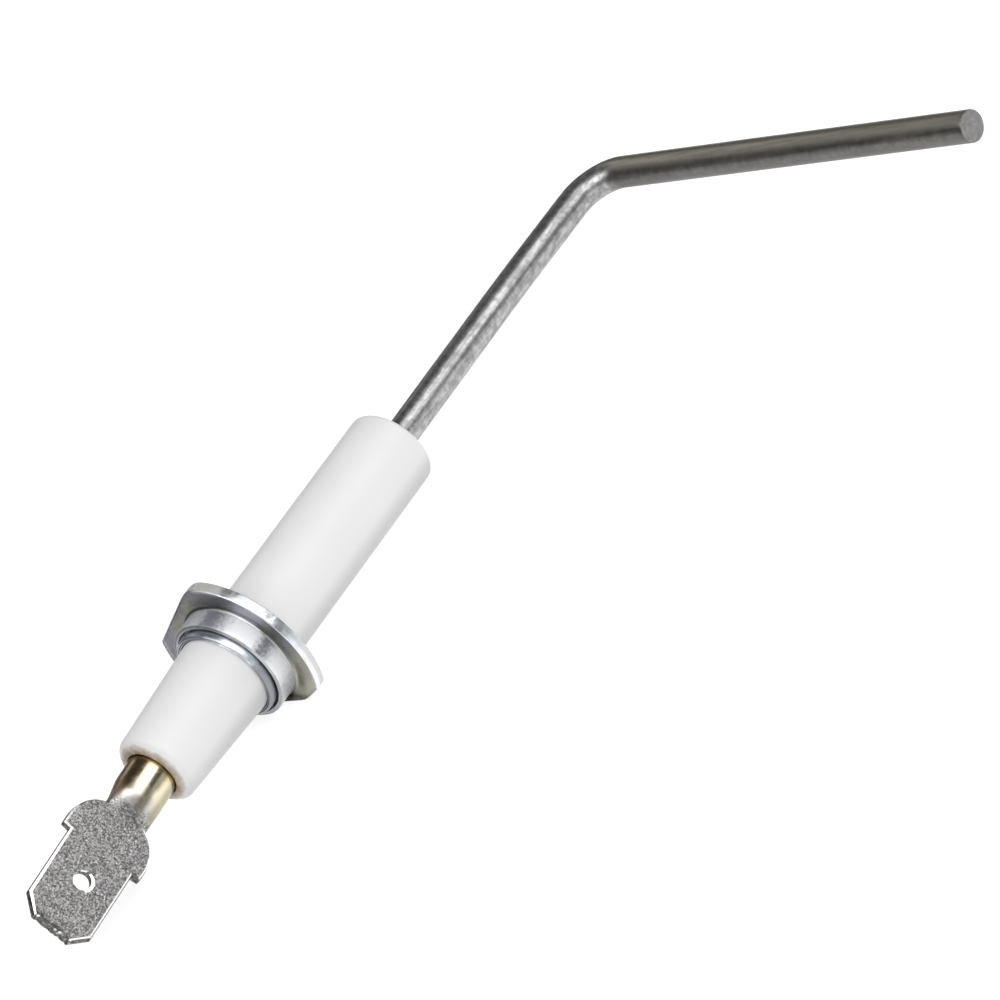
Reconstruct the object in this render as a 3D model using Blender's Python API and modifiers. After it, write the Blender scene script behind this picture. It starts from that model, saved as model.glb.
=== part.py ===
"""Ignition electrode: a spark rod cemented in a ceramic insulator with a pressed mounting flange.

Every piece is modelled about the insulator's axis, local +Z towards the spark end, local +X towards
the free end of the bent rod, with z = 0 on the flange face that seats on the burner. One empty then
lays the axis along world +X, with the bend of the rod level and its free end towards -Y.
Run with: blender --background --python part.py
"""

import math

import bmesh
import bpy
from mathutils import Matrix, Vector

MM = 0.001
GAP = 0.3 * MM  # clearance between pieces that touch in the real assembly

# Insulator
INSULATOR_BACK = -14.15 * MM  # end face on the terminal side
INSULATOR_FRONT = 24.05 * MM  # end face on the spark side
INSULATOR_RADIUS = 3.86 * MM  # straight part, spark side
TAPER_RADIUS = 3.52 * MM  # tapered part, where its end chamfer begins
TAPER_ROOT_RADIUS = 4.06 * MM  # tapered part, at the collar
TAPER_ROOT = -2.95 * MM
SHOULDER_RADIUS = 4.42 * MM  # shoulder held inside the collar
SHOULDER_BACK = -1.85 * MM
SHOULDER_FRONT = -1.45 * MM
SHOULDER_SLOPE = 0.2 * MM
BACK_CHAMFER = 0.85 * MM  # length of the rounded chamfer on the terminal end
BACK_CHAMFER_PROFILE = (  # how far it has come in, and how much of its length is left
    (0.08 * MM, 0.72),
    (0.3 * MM, 0.44),
    (0.6 * MM, 0.17),
    (0.86 * MM, 0.0),
)
FRONT_EDGE = 0.45 * MM
ROD_BORE_RADIUS = 1.7 * MM
SOCKET_RADIUS = 2.5 * MM  # counterbore that takes the terminal's neck
SOCKET_END = -5.6 * MM
CEMENT_POCKET_RADIUS = 2.9 * MM
CEMENT_POCKET_DEPTH = 2.6 * MM
CEMENT_SINK = 0.25 * MM  # the cement stays this far below the insulator's end

# Spark rod
ROD_RADIUS = 1.38 * MM
ROD_BACK = -12.2 * MM  # end inside the terminal
ROD_LEAN_START = 45.1 * MM
ROD_LEAN_LENGTH = 9.0 * MM  # length over which the rod curves into its lean
ROD_CORNER = 58.1 * MM  # where the two straight runs would meet
ROD_LEAN = math.radians(2.1)  # drift towards the bend before the corner
ROD_FREE_ANGLE = math.radians(91.6)  # free run, measured from the axis
ROD_FREE_LENGTH = 44.9 * MM  # corner to tip
ROD_BEND_RADIUS = 3.6 * MM
ROD_TIP_CHAMFER = 0.18 * MM

# Mounting flange
FLANGE_RADIUS = 7.8 * MM
FLANGE_THICKNESS = 1.0 * MM
FLANGE_HOLE_RADIUS = 4.2 * MM
FLANGE_EDGE = 0.12 * MM
LIP_THICKNESS = 0.7 * MM
COLLAR_RADIUS = 5.15 * MM
COLLAR_BORE_RADIUS = 4.75 * MM
COLLAR_MOUTH = -2.42 * MM
COLLAR_FILLET = 0.3 * MM
DISH_DEPTH = 0.65 * MM  # the face on the terminal side falls this far from its rim to the collar
MOUTH_OUTER_EDGE = 0.18 * MM
MOUTH_INNER_EDGE = 0.1 * MM
FLATS = (  # direction of each flat in degrees, distance from the axis
    (235.0, 6.29 * MM),
    (65.0, 6.4 * MM),
    (90.0, 5.05 * MM),
)

# Retaining ring in the collar's mouth
RING_INNER_RADIUS = 4.32 * MM
RING_BACK = -3.08 * MM
RING_EDGE = 0.1 * MM

# Terminal: a round neck swaged into a 6.3 mm tab
NECK_RADIUS = 2.2 * MM
NECK_FRONT = -8.6 * MM
NECK_FRONT_EDGE = 0.2 * MM
NECK_SOCKET_RADIUS = 1.7 * MM
NECK_SOCKET_END = -12.6 * MM
WAIST_START = -16.0 * MM  # the neck narrows a little before it is pressed flat
WAIST_END = -18.4 * MM
WAIST_DEPTH = 0.17 * MM
WAIST_SHIFT = 0.13 * MM
SWAGE_START = -17.2 * MM
SWAGE_END = -19.4 * MM
SWAGE_SINK = 0.05 * MM  # the pressed end of the neck stays this far inside the tab's faces
TAB_THICKNESS = 0.8 * MM
TAB_BEVEL = 0.14 * MM
TAB_TIP = -30.65 * MM
TAB_HOLE_RADIUS = 0.78 * MM
TAB_HOLE = -25.6 * MM
TAB_TURN = math.radians(65.0)  # direction of the tab's width about the axis
TAB_LEAN = math.tan(math.radians(2.6))  # the terminal leans a little outside the insulator
TAB_OUTLINE = (  # half of the outline: distance from the tab's centre line, position along the axis
    (1.72 * MM, TAB_TIP),
    (3.15 * MM, -29.15 * MM),
    (3.15 * MM, -22.6 * MM),
    (3.84 * MM, -22.5 * MM),
    (3.85 * MM, -21.6 * MM),
    (3.76 * MM, -20.9 * MM),
    (3.58 * MM, -20.3 * MM),
    (3.28 * MM, -19.7 * MM),
    (2.9 * MM, -19.2 * MM),
    (2.4 * MM, -18.82 * MM),
    (1.8 * MM, -18.6 * MM),
)

TURN_STEPS = 48
CUTTER_EXCESS = 1.0 * MM  # how far a cutter sticks out of the piece it cuts
SHARP_ANGLE = math.radians(35.0)


def clear_scene():
    for old in list(bpy.data.objects):
        bpy.data.objects.remove(old, do_unlink=True)


def new_collection(name):
    made = bpy.data.collections.new(name)
    bpy.context.scene.collection.children.link(made)
    return made


def new_material(name, colour, roughness, metallic):
    made = bpy.data.materials.new(name)
    made.use_nodes = True
    shader = made.node_tree.nodes["Principled BSDF"]
    shader.inputs["Base Color"].default_value = (*colour, 1.0)
    shader.inputs["Roughness"].default_value = roughness
    shader.inputs["Metallic"].default_value = metallic
    return made


def place(name, data, material=None):
    """A piece of the electrode, in the frame of its axis."""
    made = bpy.data.objects.new(name, data)
    parts.objects.link(made)
    made.parent = axis
    if material:
        made.data.materials.append(material)
    return made


def place_cutter(name, data):
    made = bpy.data.objects.new(name, data)
    cutters.objects.link(made)
    made.parent = axis
    made.hide_render = True
    made.display_type = "WIRE"
    return made


def add_boolean(target, other, operation):
    modifier = target.modifiers.new(other.name, "BOOLEAN")
    modifier.operation = operation
    modifier.solver = "EXACT"
    modifier.object = other


def mesh_from(name, build):
    mesh = bpy.data.meshes.new(name)
    made = bmesh.new()
    build(made)
    bmesh.ops.recalc_face_normals(made, faces=made.faces)
    made.to_mesh(mesh)
    made.free()
    return mesh


def arc(centre, radius, start, end, steps):
    """Points (r, z) on an arc, angles in degrees from +r towards +z."""
    points = []
    for i in range(steps + 1):
        angle = math.radians(start + (end - start) * i / steps)
        points.append((centre[0] + radius * math.cos(angle), centre[1] + radius * math.sin(angle)))
    return points


def turned(name, profile, material, steps=TURN_STEPS):
    """A closed (r, z) profile, running down its outer side, turned about the axis."""
    mesh = bpy.data.meshes.new(name)
    edges = [(i, (i + 1) % len(profile)) for i in range(len(profile))]
    mesh.from_pydata([(r, 0.0, z) for r, z in profile], edges, [])
    blank = place(name, mesh)
    screw = blank.modifiers.new("Turn", "SCREW")
    screw.axis = "Z"
    screw.angle = math.tau
    screw.screw_offset = 0.0
    screw.steps = steps
    screw.render_steps = steps
    screw.use_merge_vertices = True
    screw.merge_threshold = 0.00001
    screw.use_smooth_shade = True
    graph = bpy.context.evaluated_depsgraph_get()
    solid = bpy.data.meshes.new_from_object(blank.evaluated_get(graph))
    bpy.data.objects.remove(blank)
    solid.set_sharp_from_angle(angle=SHARP_ANGLE)
    return place(name, solid, material)


def insulator():
    outer = [(CEMENT_POCKET_RADIUS, INSULATOR_FRONT)]
    outer += arc((INSULATOR_RADIUS - FRONT_EDGE, INSULATOR_FRONT - FRONT_EDGE), FRONT_EDGE, 90, 0, 5)
    outer += [
        (INSULATOR_RADIUS, SHOULDER_FRONT),
        (SHOULDER_RADIUS, SHOULDER_FRONT),
        (SHOULDER_RADIUS, SHOULDER_BACK),
        (TAPER_ROOT_RADIUS, SHOULDER_BACK - SHOULDER_SLOPE),
        (TAPER_ROOT_RADIUS, TAPER_ROOT),
        (TAPER_RADIUS, INSULATOR_BACK + BACK_CHAMFER),
    ]
    outer += [(TAPER_RADIUS - r, INSULATOR_BACK + left * BACK_CHAMFER) for r, left in BACK_CHAMFER_PROFILE]
    inner = [
        (SOCKET_RADIUS, INSULATOR_BACK),
        (SOCKET_RADIUS, SOCKET_END),
        (ROD_BORE_RADIUS, SOCKET_END),
        (ROD_BORE_RADIUS, INSULATOR_FRONT - CEMENT_POCKET_DEPTH),
        (CEMENT_POCKET_RADIUS, INSULATOR_FRONT - CEMENT_POCKET_DEPTH),
    ]
    return turned("insulator", outer + inner, white_ceramic)


def front_cement():
    """Cement round the rod in the pocket of the insulator's spark end."""
    top = INSULATOR_FRONT - CEMENT_SINK
    bottom = INSULATOR_FRONT - CEMENT_POCKET_DEPTH + GAP
    inner = ROD_RADIUS + GAP
    outer = CEMENT_POCKET_RADIUS - GAP
    profile = [(inner, top), (outer, top), (outer, bottom), (inner, bottom)]
    return turned("front_cement", profile, cement, 32)


def back_cement():
    """Cement between the terminal's neck and the step of the insulator's socket."""
    top = SOCKET_END - GAP
    bottom = NECK_FRONT + GAP
    inner = ROD_RADIUS + GAP
    outer = SOCKET_RADIUS - GAP
    profile = [(inner, top), (outer, top), (outer, bottom), (inner, bottom)]
    return turned("back_cement", profile, cement, 32)


def retaining_ring():
    outer = COLLAR_BORE_RADIUS - GAP
    profile = [(RING_INNER_RADIUS, SHOULDER_BACK - GAP), (outer, SHOULDER_BACK - GAP)]
    profile += arc((outer - RING_EDGE, RING_BACK + RING_EDGE), RING_EDGE, 0, -90, 3)
    profile += [(RING_INNER_RADIUS, RING_BACK)]
    return turned("retaining_ring", profile, zinc_ring)


def sealing_washer():
    top = -LIP_THICKNESS - GAP / 2
    bottom = SHOULDER_FRONT + GAP
    profile = [
        (INSULATOR_RADIUS + GAP, top),
        (COLLAR_BORE_RADIUS - GAP, top),
        (COLLAR_BORE_RADIUS - GAP, bottom),
        (INSULATOR_RADIUS + GAP, bottom),
    ]
    return turned("sealing_washer", profile, graphite)


def flat_cutter(name, direction, distance):
    """A block that cuts a flat at this distance from the axis, facing this direction."""
    depth = FLANGE_RADIUS

    def build(blank):
        bmesh.ops.create_cube(blank, size=1.0)
        bmesh.ops.scale(blank, vec=(depth, 3 * FLANGE_RADIUS, 8 * FLANGE_THICKNESS), verts=blank.verts)
        bmesh.ops.translate(blank, vec=(distance + depth / 2, 0, 0), verts=blank.verts)
        turn = Matrix.Rotation(math.radians(direction), 3, "Z")
        bmesh.ops.rotate(blank, matrix=turn, verts=blank.verts)

    return place_cutter(name, mesh_from(name, build))


def flange():
    face = -FLANGE_THICKNESS
    root = face + DISH_DEPTH
    profile = [(FLANGE_HOLE_RADIUS, 0.0)]
    profile += arc((FLANGE_RADIUS - FLANGE_EDGE, -FLANGE_EDGE), FLANGE_EDGE, 90, 0, 2)
    profile += arc((FLANGE_RADIUS - FLANGE_EDGE, face + FLANGE_EDGE), FLANGE_EDGE, 0, -90, 2)
    profile += arc((COLLAR_RADIUS + COLLAR_FILLET, root - COLLAR_FILLET), COLLAR_FILLET, 90, 180, 6)
    mouth = (COLLAR_RADIUS - MOUTH_OUTER_EDGE, COLLAR_MOUTH + MOUTH_OUTER_EDGE)
    profile += arc(mouth, MOUTH_OUTER_EDGE, 0, -90, 4)
    profile += [
        (COLLAR_BORE_RADIUS + MOUTH_INNER_EDGE, COLLAR_MOUTH),
        (COLLAR_BORE_RADIUS, COLLAR_MOUTH + MOUTH_INNER_EDGE),
        (COLLAR_BORE_RADIUS, -LIP_THICKNESS),
        (FLANGE_HOLE_RADIUS, -LIP_THICKNESS),
    ]
    made = turned("mounting_flange", profile, zinc)
    for number, (direction, distance) in enumerate(FLATS, 1):
        add_boolean(made, flat_cutter(f"flat_cutter_{number}", direction, distance), "DIFFERENCE")
    return made


def rod_route():
    """Centre line of the rod in the plane of its bend, as pairs of a point (x, z) and a share of radius."""
    lean = Vector((math.sin(ROD_LEAN), math.cos(ROD_LEAN)))
    free = Vector((math.sin(ROD_FREE_ANGLE), math.cos(ROD_FREE_ANGLE)))
    corner = Vector((0.0, ROD_LEAN_START)) + lean * (ROD_CORNER - ROD_LEAN_START) / lean.y
    turn = ROD_FREE_ANGLE - ROD_LEAN
    route = [(Vector((0.0, ROD_BACK)), 1.0)]

    slow_radius = ROD_LEAN_LENGTH / 2 / math.tan(ROD_LEAN / 2)
    for i in range(5):
        angle = ROD_LEAN * i / 4
        along = ROD_LEAN_START - ROD_LEAN_LENGTH / 2 + slow_radius * math.sin(angle)
        route.append((Vector((slow_radius * (1 - math.cos(angle)), along)), 1.0))

    setback = ROD_BEND_RADIUS * math.tan(turn / 2)
    centre = corner - lean * setback + Vector((lean.y, -lean.x)) * ROD_BEND_RADIUS
    for i in range(13):
        angle = ROD_LEAN + turn * i / 12
        offset = Vector((-math.cos(angle), math.sin(angle))) * ROD_BEND_RADIUS
        route.append((centre + offset, 1.0))

    tip = corner + free * ROD_FREE_LENGTH
    route.append((tip - free * ROD_TIP_CHAMFER, 1.0))
    route.append((tip, 1.0 - ROD_TIP_CHAMFER / ROD_RADIUS))
    return route


def spark_rod():
    route = rod_route()
    curve = bpy.data.curves.new("spark_rod", "CURVE")
    curve.dimensions = "3D"
    curve.bevel_depth = ROD_RADIUS
    curve.bevel_resolution = 6
    curve.use_fill_caps = True
    spline = curve.splines.new("POLY")
    spline.points.add(len(route) - 1)
    for point, (place_2d, share) in zip(spline.points, route):
        point.co = (place_2d.x, 0.0, place_2d.y, 1.0)
        point.radius = share
    return place("spark_rod", curve, heat_steel)


def leaned(along):
    """How far the terminal's centre line has leaned at this position."""
    return TAB_LEAN * max(0.0, INSULATOR_BACK - along)


def tab_plate():
    """The flat tab, its outline extruded to the tab's thickness and beveled."""
    curve = bpy.data.curves.new("tab_plate", "CURVE")
    curve.dimensions = "2D"
    curve.fill_mode = "BOTH"
    curve.extrude = TAB_THICKNESS / 2
    spline = curve.splines.new("POLY")
    outline = list(TAB_OUTLINE) + [(-x, z) for x, z in reversed(TAB_OUTLINE)]
    spline.points.add(len(outline) - 1)
    for point, (x, z) in zip(spline.points, outline):
        point.co = (x + leaned(z), z, 0.0, 1.0)
    spline.use_cyclic_u = True
    flat = bpy.data.objects.new("tab_curve", curve)
    cutters.objects.link(flat)
    graph = bpy.context.evaluated_depsgraph_get()
    mesh = bpy.data.meshes.new_from_object(flat.evaluated_get(graph))
    bpy.data.objects.remove(flat)

    welded = bmesh.new()
    welded.from_mesh(mesh)
    bmesh.ops.remove_doubles(welded, verts=welded.verts, dist=0.000001)
    bmesh.ops.recalc_face_normals(welded, faces=welded.faces)
    welded.to_mesh(mesh)
    welded.free()
    mesh.name = "tab_plate"
    made = place_cutter("tab_plate", mesh)
    made.rotation_euler = (math.radians(90.0), 0.0, 0.0)
    bevel = made.modifiers.new("Coined edges", "BEVEL")
    bevel.width = TAB_BEVEL
    bevel.segments = 1
    bevel.limit_method = "ANGLE"
    bevel.angle_limit = math.radians(60.0)
    return made


def eased(value, start, end):
    """Smooth 0 to 1 as the value runs from start to end."""
    share = min(max((value - start) / (end - start), 0.0), 1.0)
    return share * share * (3 - 2 * share)


def neck_sections():
    """Sections of the neck: (z, sideways shift, half width, half thickness)."""
    sections = [
        (NECK_FRONT, 0.0, NECK_RADIUS - NECK_FRONT_EDGE, NECK_RADIUS - NECK_FRONT_EDGE),
        (NECK_FRONT - NECK_FRONT_EDGE, 0.0, NECK_RADIUS, NECK_RADIUS),
        (INSULATOR_BACK, 0.0, NECK_RADIUS, NECK_RADIUS),
    ]
    pressed = TAB_THICKNESS / 2 - SWAGE_SINK
    steps = 14
    for i in range(steps + 1):
        z = WAIST_START + (SWAGE_END - WAIST_START) * i / steps
        waist = eased(z, WAIST_START, WAIST_END)
        half_width = NECK_RADIUS - WAIST_DEPTH * waist
        half_thickness = NECK_RADIUS + (pressed - NECK_RADIUS) * eased(z, SWAGE_START, SWAGE_END)
        sections.append((z, WAIST_SHIFT * waist, half_width, half_thickness))
    return sections


def neck_mesh(sides=40):
    """Loft of the neck's sections."""

    def build(blank):
        rings = []
        for z, shift, half_width, half_thickness in neck_sections():
            ring = []
            for k in range(sides):
                angle = math.tau * k / sides
                x = half_width * math.cos(angle) + shift + leaned(z)
                ring.append(blank.verts.new((x, half_thickness * math.sin(angle), z)))
            rings.append(ring)
        for low, high in zip(rings, rings[1:]):
            for k in range(sides):
                after = (k + 1) % sides
                blank.faces.new((low[k], low[after], high[after], high[k]))
        blank.faces.new(rings[0])
        blank.faces.new(rings[-1])

    return mesh_from("terminal", build)


def cylinder_cutter(name, radius, length, location, across=False):
    """A round cutter centred on the location, along the axis or across the tab."""

    def build(blank):
        bmesh.ops.create_cone(
            blank,
            cap_ends=True,
            segments=32,
            radius1=radius,
            radius2=radius,
            depth=length,
        )
        if across:
            turn = Matrix.Rotation(math.radians(90.0), 3, "X")
            bmesh.ops.rotate(blank, matrix=turn, verts=blank.verts)
        bmesh.ops.translate(blank, vec=location, verts=blank.verts)

    return place_cutter(name, mesh_from(name, build))


def terminal():
    made = place("terminal", neck_mesh(), nickel_brass)
    made.rotation_euler = (0.0, 0.0, TAB_TURN)

    plate = tab_plate()
    plate.parent = made
    add_boolean(made, plate, "UNION")

    depth = NECK_FRONT - NECK_SOCKET_END + CUTTER_EXCESS
    middle = (0.0, 0.0, NECK_SOCKET_END + depth / 2)
    add_boolean(made, cylinder_cutter("rod_socket_cutter", NECK_SOCKET_RADIUS, depth, middle), "DIFFERENCE")

    middle = (leaned(TAB_HOLE), 0.0, TAB_HOLE)
    hole = cylinder_cutter("tab_hole_cutter", TAB_HOLE_RADIUS, 4 * TAB_THICKNESS, middle, across=True)
    hole.parent = made
    add_boolean(made, hole, "DIFFERENCE")
    made.data.shade_smooth()
    made.data.set_sharp_from_angle(angle=SHARP_ANGLE)
    return made


clear_scene()
parts = new_collection("ignition_electrode")
cutters = new_collection("cutters")
cutters.hide_render = True

axis = bpy.data.objects.new("electrode_axis", None)
parts.objects.link(axis)
axis.rotation_euler = Matrix(((0, 0, 1), (-1, 0, 0), (0, -1, 0))).to_euler()

white_ceramic = new_material("white_ceramic", (0.86, 0.86, 0.85), 0.38, 0.0)
heat_steel = new_material("heat_resistant_steel", (0.42, 0.41, 0.40), 0.36, 1.0)
zinc = new_material("zinc_plated_steel", (0.72, 0.75, 0.78), 0.3, 1.0)
zinc_ring = new_material("zinc_plated_ring", (0.75, 0.78, 0.8), 0.25, 1.0)
nickel_brass = new_material("nickel_plated_brass", (0.74, 0.72, 0.64), 0.32, 1.0)
cement = new_material("refractory_cement", (0.62, 0.6, 0.56), 0.85, 0.0)
graphite = new_material("graphite_gasket", (0.12, 0.12, 0.13), 0.7, 0.0)

insulator()
front_cement()
back_cement()
flange()
retaining_ring()
sealing_washer()
spark_rod()
terminal()
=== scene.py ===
"""Looks of the ignition electrode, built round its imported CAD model.

World frame: +X runs along the insulator to the spark end, -Y along the free run of the rod, +Z is up.
Lengths and positions in this script are in millimetres, and MM turns them into the scene's metres.
The profile of a turned piece is a list of (r, x): the distance from the X axis, and the station along it.
"""

import math

import bmesh
import bpy
from mathutils import Matrix, Vector, noise


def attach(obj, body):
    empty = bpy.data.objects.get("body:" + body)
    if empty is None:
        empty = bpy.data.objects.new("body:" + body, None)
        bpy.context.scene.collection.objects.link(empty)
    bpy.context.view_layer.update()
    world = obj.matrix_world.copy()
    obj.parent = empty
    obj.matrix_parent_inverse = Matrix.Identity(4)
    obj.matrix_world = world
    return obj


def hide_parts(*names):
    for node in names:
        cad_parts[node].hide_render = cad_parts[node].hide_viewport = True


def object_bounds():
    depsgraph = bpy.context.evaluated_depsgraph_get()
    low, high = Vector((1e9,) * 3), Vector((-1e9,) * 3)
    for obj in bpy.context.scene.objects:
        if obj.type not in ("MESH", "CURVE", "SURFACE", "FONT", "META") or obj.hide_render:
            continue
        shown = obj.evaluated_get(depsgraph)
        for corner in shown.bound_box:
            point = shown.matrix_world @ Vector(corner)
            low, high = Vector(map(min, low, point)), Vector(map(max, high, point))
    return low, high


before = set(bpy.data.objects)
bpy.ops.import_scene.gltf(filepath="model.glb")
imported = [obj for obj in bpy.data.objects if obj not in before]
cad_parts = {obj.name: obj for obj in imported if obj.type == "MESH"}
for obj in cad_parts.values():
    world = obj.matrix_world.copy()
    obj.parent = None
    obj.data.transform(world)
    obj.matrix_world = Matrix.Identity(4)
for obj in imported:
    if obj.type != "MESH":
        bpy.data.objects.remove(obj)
cad_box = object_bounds()

MM = 0.001

# Insulator
INSULATOR_BACK = -14.15
INSULATOR_FRONT = 24.05
INSULATOR_RADIUS = 3.86
FRONT_EDGE = 0.45
SHOULDER_RADIUS = 4.42
SHOULDER_FRONT = -1.45
SHOULDER_BACK = -1.85
SHOULDER_FOOT = -2.05
TAPER_ROOT = -2.95
TAPER_ROOT_RADIUS = 4.06
TAPER_RADIUS = 3.52
CHAMFER = 0.85
CHAMFER_CURVE = (  # how far inwards, and the share of the chamfer's length that is left
    (0.0, 1.0),
    (0.03, 0.84),
    (0.1, 0.69),
    (0.2, 0.55),
    (0.55, 0.22),
    (0.7, 0.1),
    (0.86, 0.02),
)
NECK_CLEARANCE = 0.07
SOCKET_EDGE = 0.06
SOCKET_BOTTOM = -5.6
BORE_RADIUS = 1.7
POCKET_BOTTOM = 21.45
POCKET_RADIUS = 2.9
POCKET_EDGE = 0.08

# Cement in the front pocket, drawn up a little on the rod and on the pocket's wall
FRONT_CEMENT = (
    (1.39, 21.6),
    (1.39, 24.0),
    (1.5, 23.86),
    (1.8, 23.76),
    (2.3, 23.74),
    (2.7, 23.8),
    (2.87, 23.92),
    (2.87, 21.6),
)
CEMENT_FACE = 23.0  # only what lies in front of this is uneven

# Rod: it leans a little before the corner, then turns by nearly a right angle
ROD_RADIUS = 1.38
ROD_BACK = -12.2
LEAN_START = 45.1
LEAN_LENGTH = 9.0
CORNER = 58.1
LEAN = math.radians(2.1)
FREE_ANGLE = math.radians(91.6)
FREE_LENGTH = 44.9
BEND_RADIUS = 3.6
STRAIGHT_STEPS = 70
LEAN_STEPS = 12
BEND_STEPS = 24
FREE_STEPS = 66
AFTER_LEAN = 0.08  # share of the way from the lean to the bend that is left without a ring
ROD_EDGE = ((0.14, 1.0), (0.05, 0.985))  # distance before the end, share of the radius
ROD_FACE = (0.95, 0.8, 0.55, 0.28)  # shares of the radius
ROD_FACE_DEPTH = 0.03

# Flange
FLANGE_RADIUS = 7.8
FLANGE_THICKNESS = 1.0
FLANGE_HOLE_RADIUS = 4.2
FLANGE_EDGE = 0.1
COLLAR_RADIUS = 5.15
COLLAR_BORE_RADIUS = 4.75
COLLAR_MOUTH = -2.42
COLLAR_EDGE = 0.18
COLLAR_INNER_EDGE = 0.08
COLLAR_FILLET = 0.3
LIP_BACK = -0.7
DISH_DEPTH = 0.65
FLATS = (  # direction in degrees from +Y towards +Z, distance, softness of the corner before and after it
    (55.0, 6.29, 0.3, 1.1),
    (245.0, 6.4, 0.3, 0.3),
    (270.0, 5.05, 0.3, 0.3),
)

# Ring in the collar's mouth, with the fine step that runs round its inner edge
RING_PROFILE = (
    (4.56, -2.2),
    (4.14, -2.2),
    (4.14, -2.98),
    (4.16, -3.03),
    (4.22, -3.04),
    (4.25, -3.01),
    (4.27, -2.9),
    (4.29, -3.01),
    (4.32, -3.05),
    (4.38, -3.04),
    (4.46, -2.96),
    (4.52, -2.84),
    (4.56, -2.68),
    (4.57, -2.5),
)

# Terminal: its width runs along WIDE, its thickness along THICK
NECK_RADIUS = 2.2
NECK_FRONT = -8.6
NECK_FRONT_EDGE = 0.2
NECK_STATIONS = (-11.0, -13.0, INSULATOR_BACK, -15.0)
WAIST_START = -16.0
WAIST_END = -18.4
WAIST_SHIFT = 0.13
WAIST_NARROWING = 0.17
PRESS_START = -17.1
PRESS_END = -19.4
PRESS_LENGTH = 3.4
PRESS_STEPS = 30
PRESSED_HALF_THICKNESS = 0.34
TAB_TIP = -30.65
TIP_CORNER = -29.15
TIP_HALF_WIDTH = 1.72
TAB_HALF_WIDTH = 3.15
TAB_HALF_THICKNESS = 0.4
STOP = -22.62
STOP_CORNER = ((3.8, -22.55), (3.86, -22.42))  # half a width, station
TAB_SHOULDER = (  # half a width, station
    (3.88, -21.9),
    (3.87, -21.4),
    (3.81, -20.95),
    (3.7, -20.55),
    (3.53, -20.15),
    (3.3, -19.76),
    (3.02, -19.4),
    (2.7, -19.1),
    (2.35, -18.86),
    (2.0, -18.7),
    (1.6, -18.6),
    (0.8, -18.55),
)
BEVEL_DEPTH = 0.09
BACK_EDGE = 0.06
TAB_HOLE = -25.6
TAB_HOLE_RADIUS = 0.78
HOLE_FLARE_RADIUS = 0.93
HOLE_SHIFT = 0.11
CUTTER_RADIUS = 2.4
CUTTER_EXCESS = 0.5
TAB_TURN = math.radians(245.0)
TAB_LEAN = math.tan(math.radians(2.6))
WIDE = Vector((0.0, math.cos(TAB_TURN), math.sin(TAB_TURN)))
THICK = Vector((0.0, -math.sin(TAB_TURN), math.cos(TAB_TURN)))

# How y and z are weighed for a place across a piece, about -1 on its upper side and 1 on its lower side
ACROSS_INSULATOR = (-0.133, -0.222)
ACROSS_COLLAR = (-0.1, -0.167)
ACROSS_NECK = (-0.233, -0.39)
TOWARDS_FIRST_FLAT = (0.5736, 0.8192)

WHITE = (1.0, 1.0, 1.0, 1.0)


# ---------------------------------------------------------------------------------------------------
# Meshes


def arc(centre, radius, start, end, steps):
    """Points on an arc in the plane (r, x), angles in degrees from +r towards +x."""
    points = []
    for i in range(steps + 1):
        angle = math.radians(start + (end - start) * i / steps)
        points.append((centre[0] + radius * math.cos(angle), centre[1] + radius * math.sin(angle)))
    return points


def split_long(profile, longest):
    """The closed profile with its long sides cut into steps no longer than this."""
    points = []
    for a, b in zip(profile, profile[1:] + profile[:1]):
        steps = max(1, math.ceil(math.dist(a, b) / longest))
        for i in range(steps):
            points.append((a[0] + (b[0] - a[0]) * i / steps, a[1] + (b[1] - a[1]) * i / steps))
    return points


def skin(rings, sides, joined=False):
    """Faces between rings of points that follow each other. Joined: also from the last to the first."""
    faces = []
    for i in range(rings if joined else rings - 1):
        ahead = (i + 1) % rings
        for k in range(sides):
            after = (k + 1) % sides
            faces.append((i * sides + k, i * sides + after, ahead * sides + after, ahead * sides + k))
    return faces


def caps(rings, sides):
    """A face on the first ring of points and one on the last."""
    return [tuple(range(sides)), tuple(range((rings - 1) * sides, rings * sides))]


def mesh_of(name, points, faces):
    mesh = bpy.data.meshes.new(name)
    mesh.from_pydata([(x * MM, y * MM, z * MM) for x, y, z in points], [], faces)
    tidy = bmesh.new()
    tidy.from_mesh(mesh)
    bmesh.ops.remove_doubles(tidy, verts=tidy.verts, dist=1e-7)
    bmesh.ops.recalc_face_normals(tidy, faces=tidy.faces)
    tidy.to_mesh(mesh)
    tidy.free()
    return mesh


def even_angles(steps):
    return [math.tau * i / steps for i in range(steps)]


def revolve(name, profile, sides, move):
    """A closed profile turned about the X axis. move(r, x, angle) gives the point's new r and x."""
    points = []
    for angle in even_angles(sides):
        for r, x in profile:
            r, x = move(r, x, angle)
            points.append((x, r * math.cos(angle), r * math.sin(angle)))
    return mesh_of(name, points, skin(sides, len(profile), joined=True))


def wobble(x, y, z, size, seed):
    """Smooth noise from -1 to 1, for features of about this size."""
    return noise.noise(Vector((x, y, z)) / size + Vector((seed, 2 * seed, -seed)))


def linked(name, data):
    """A new object for this data, linked to the scene."""
    made = bpy.data.objects.new(name, data)
    bpy.context.scene.collection.objects.link(made)
    return made


def add_object(name, mesh, materials, body="root", replaces=None, sharp=35.0):
    """A visible piece that rides on a body. Edges that turn by more than sharp degrees stay crisp."""
    made = linked(name, mesh)
    for material in materials:
        made.data.materials.append(material)
    made.data.shade_smooth()
    made.data.set_sharp_from_angle(angle=math.radians(sharp))
    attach(made, body)
    if replaces:
        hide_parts(replaces)
    return made


# ---------------------------------------------------------------------------------------------------
# Materials


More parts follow.
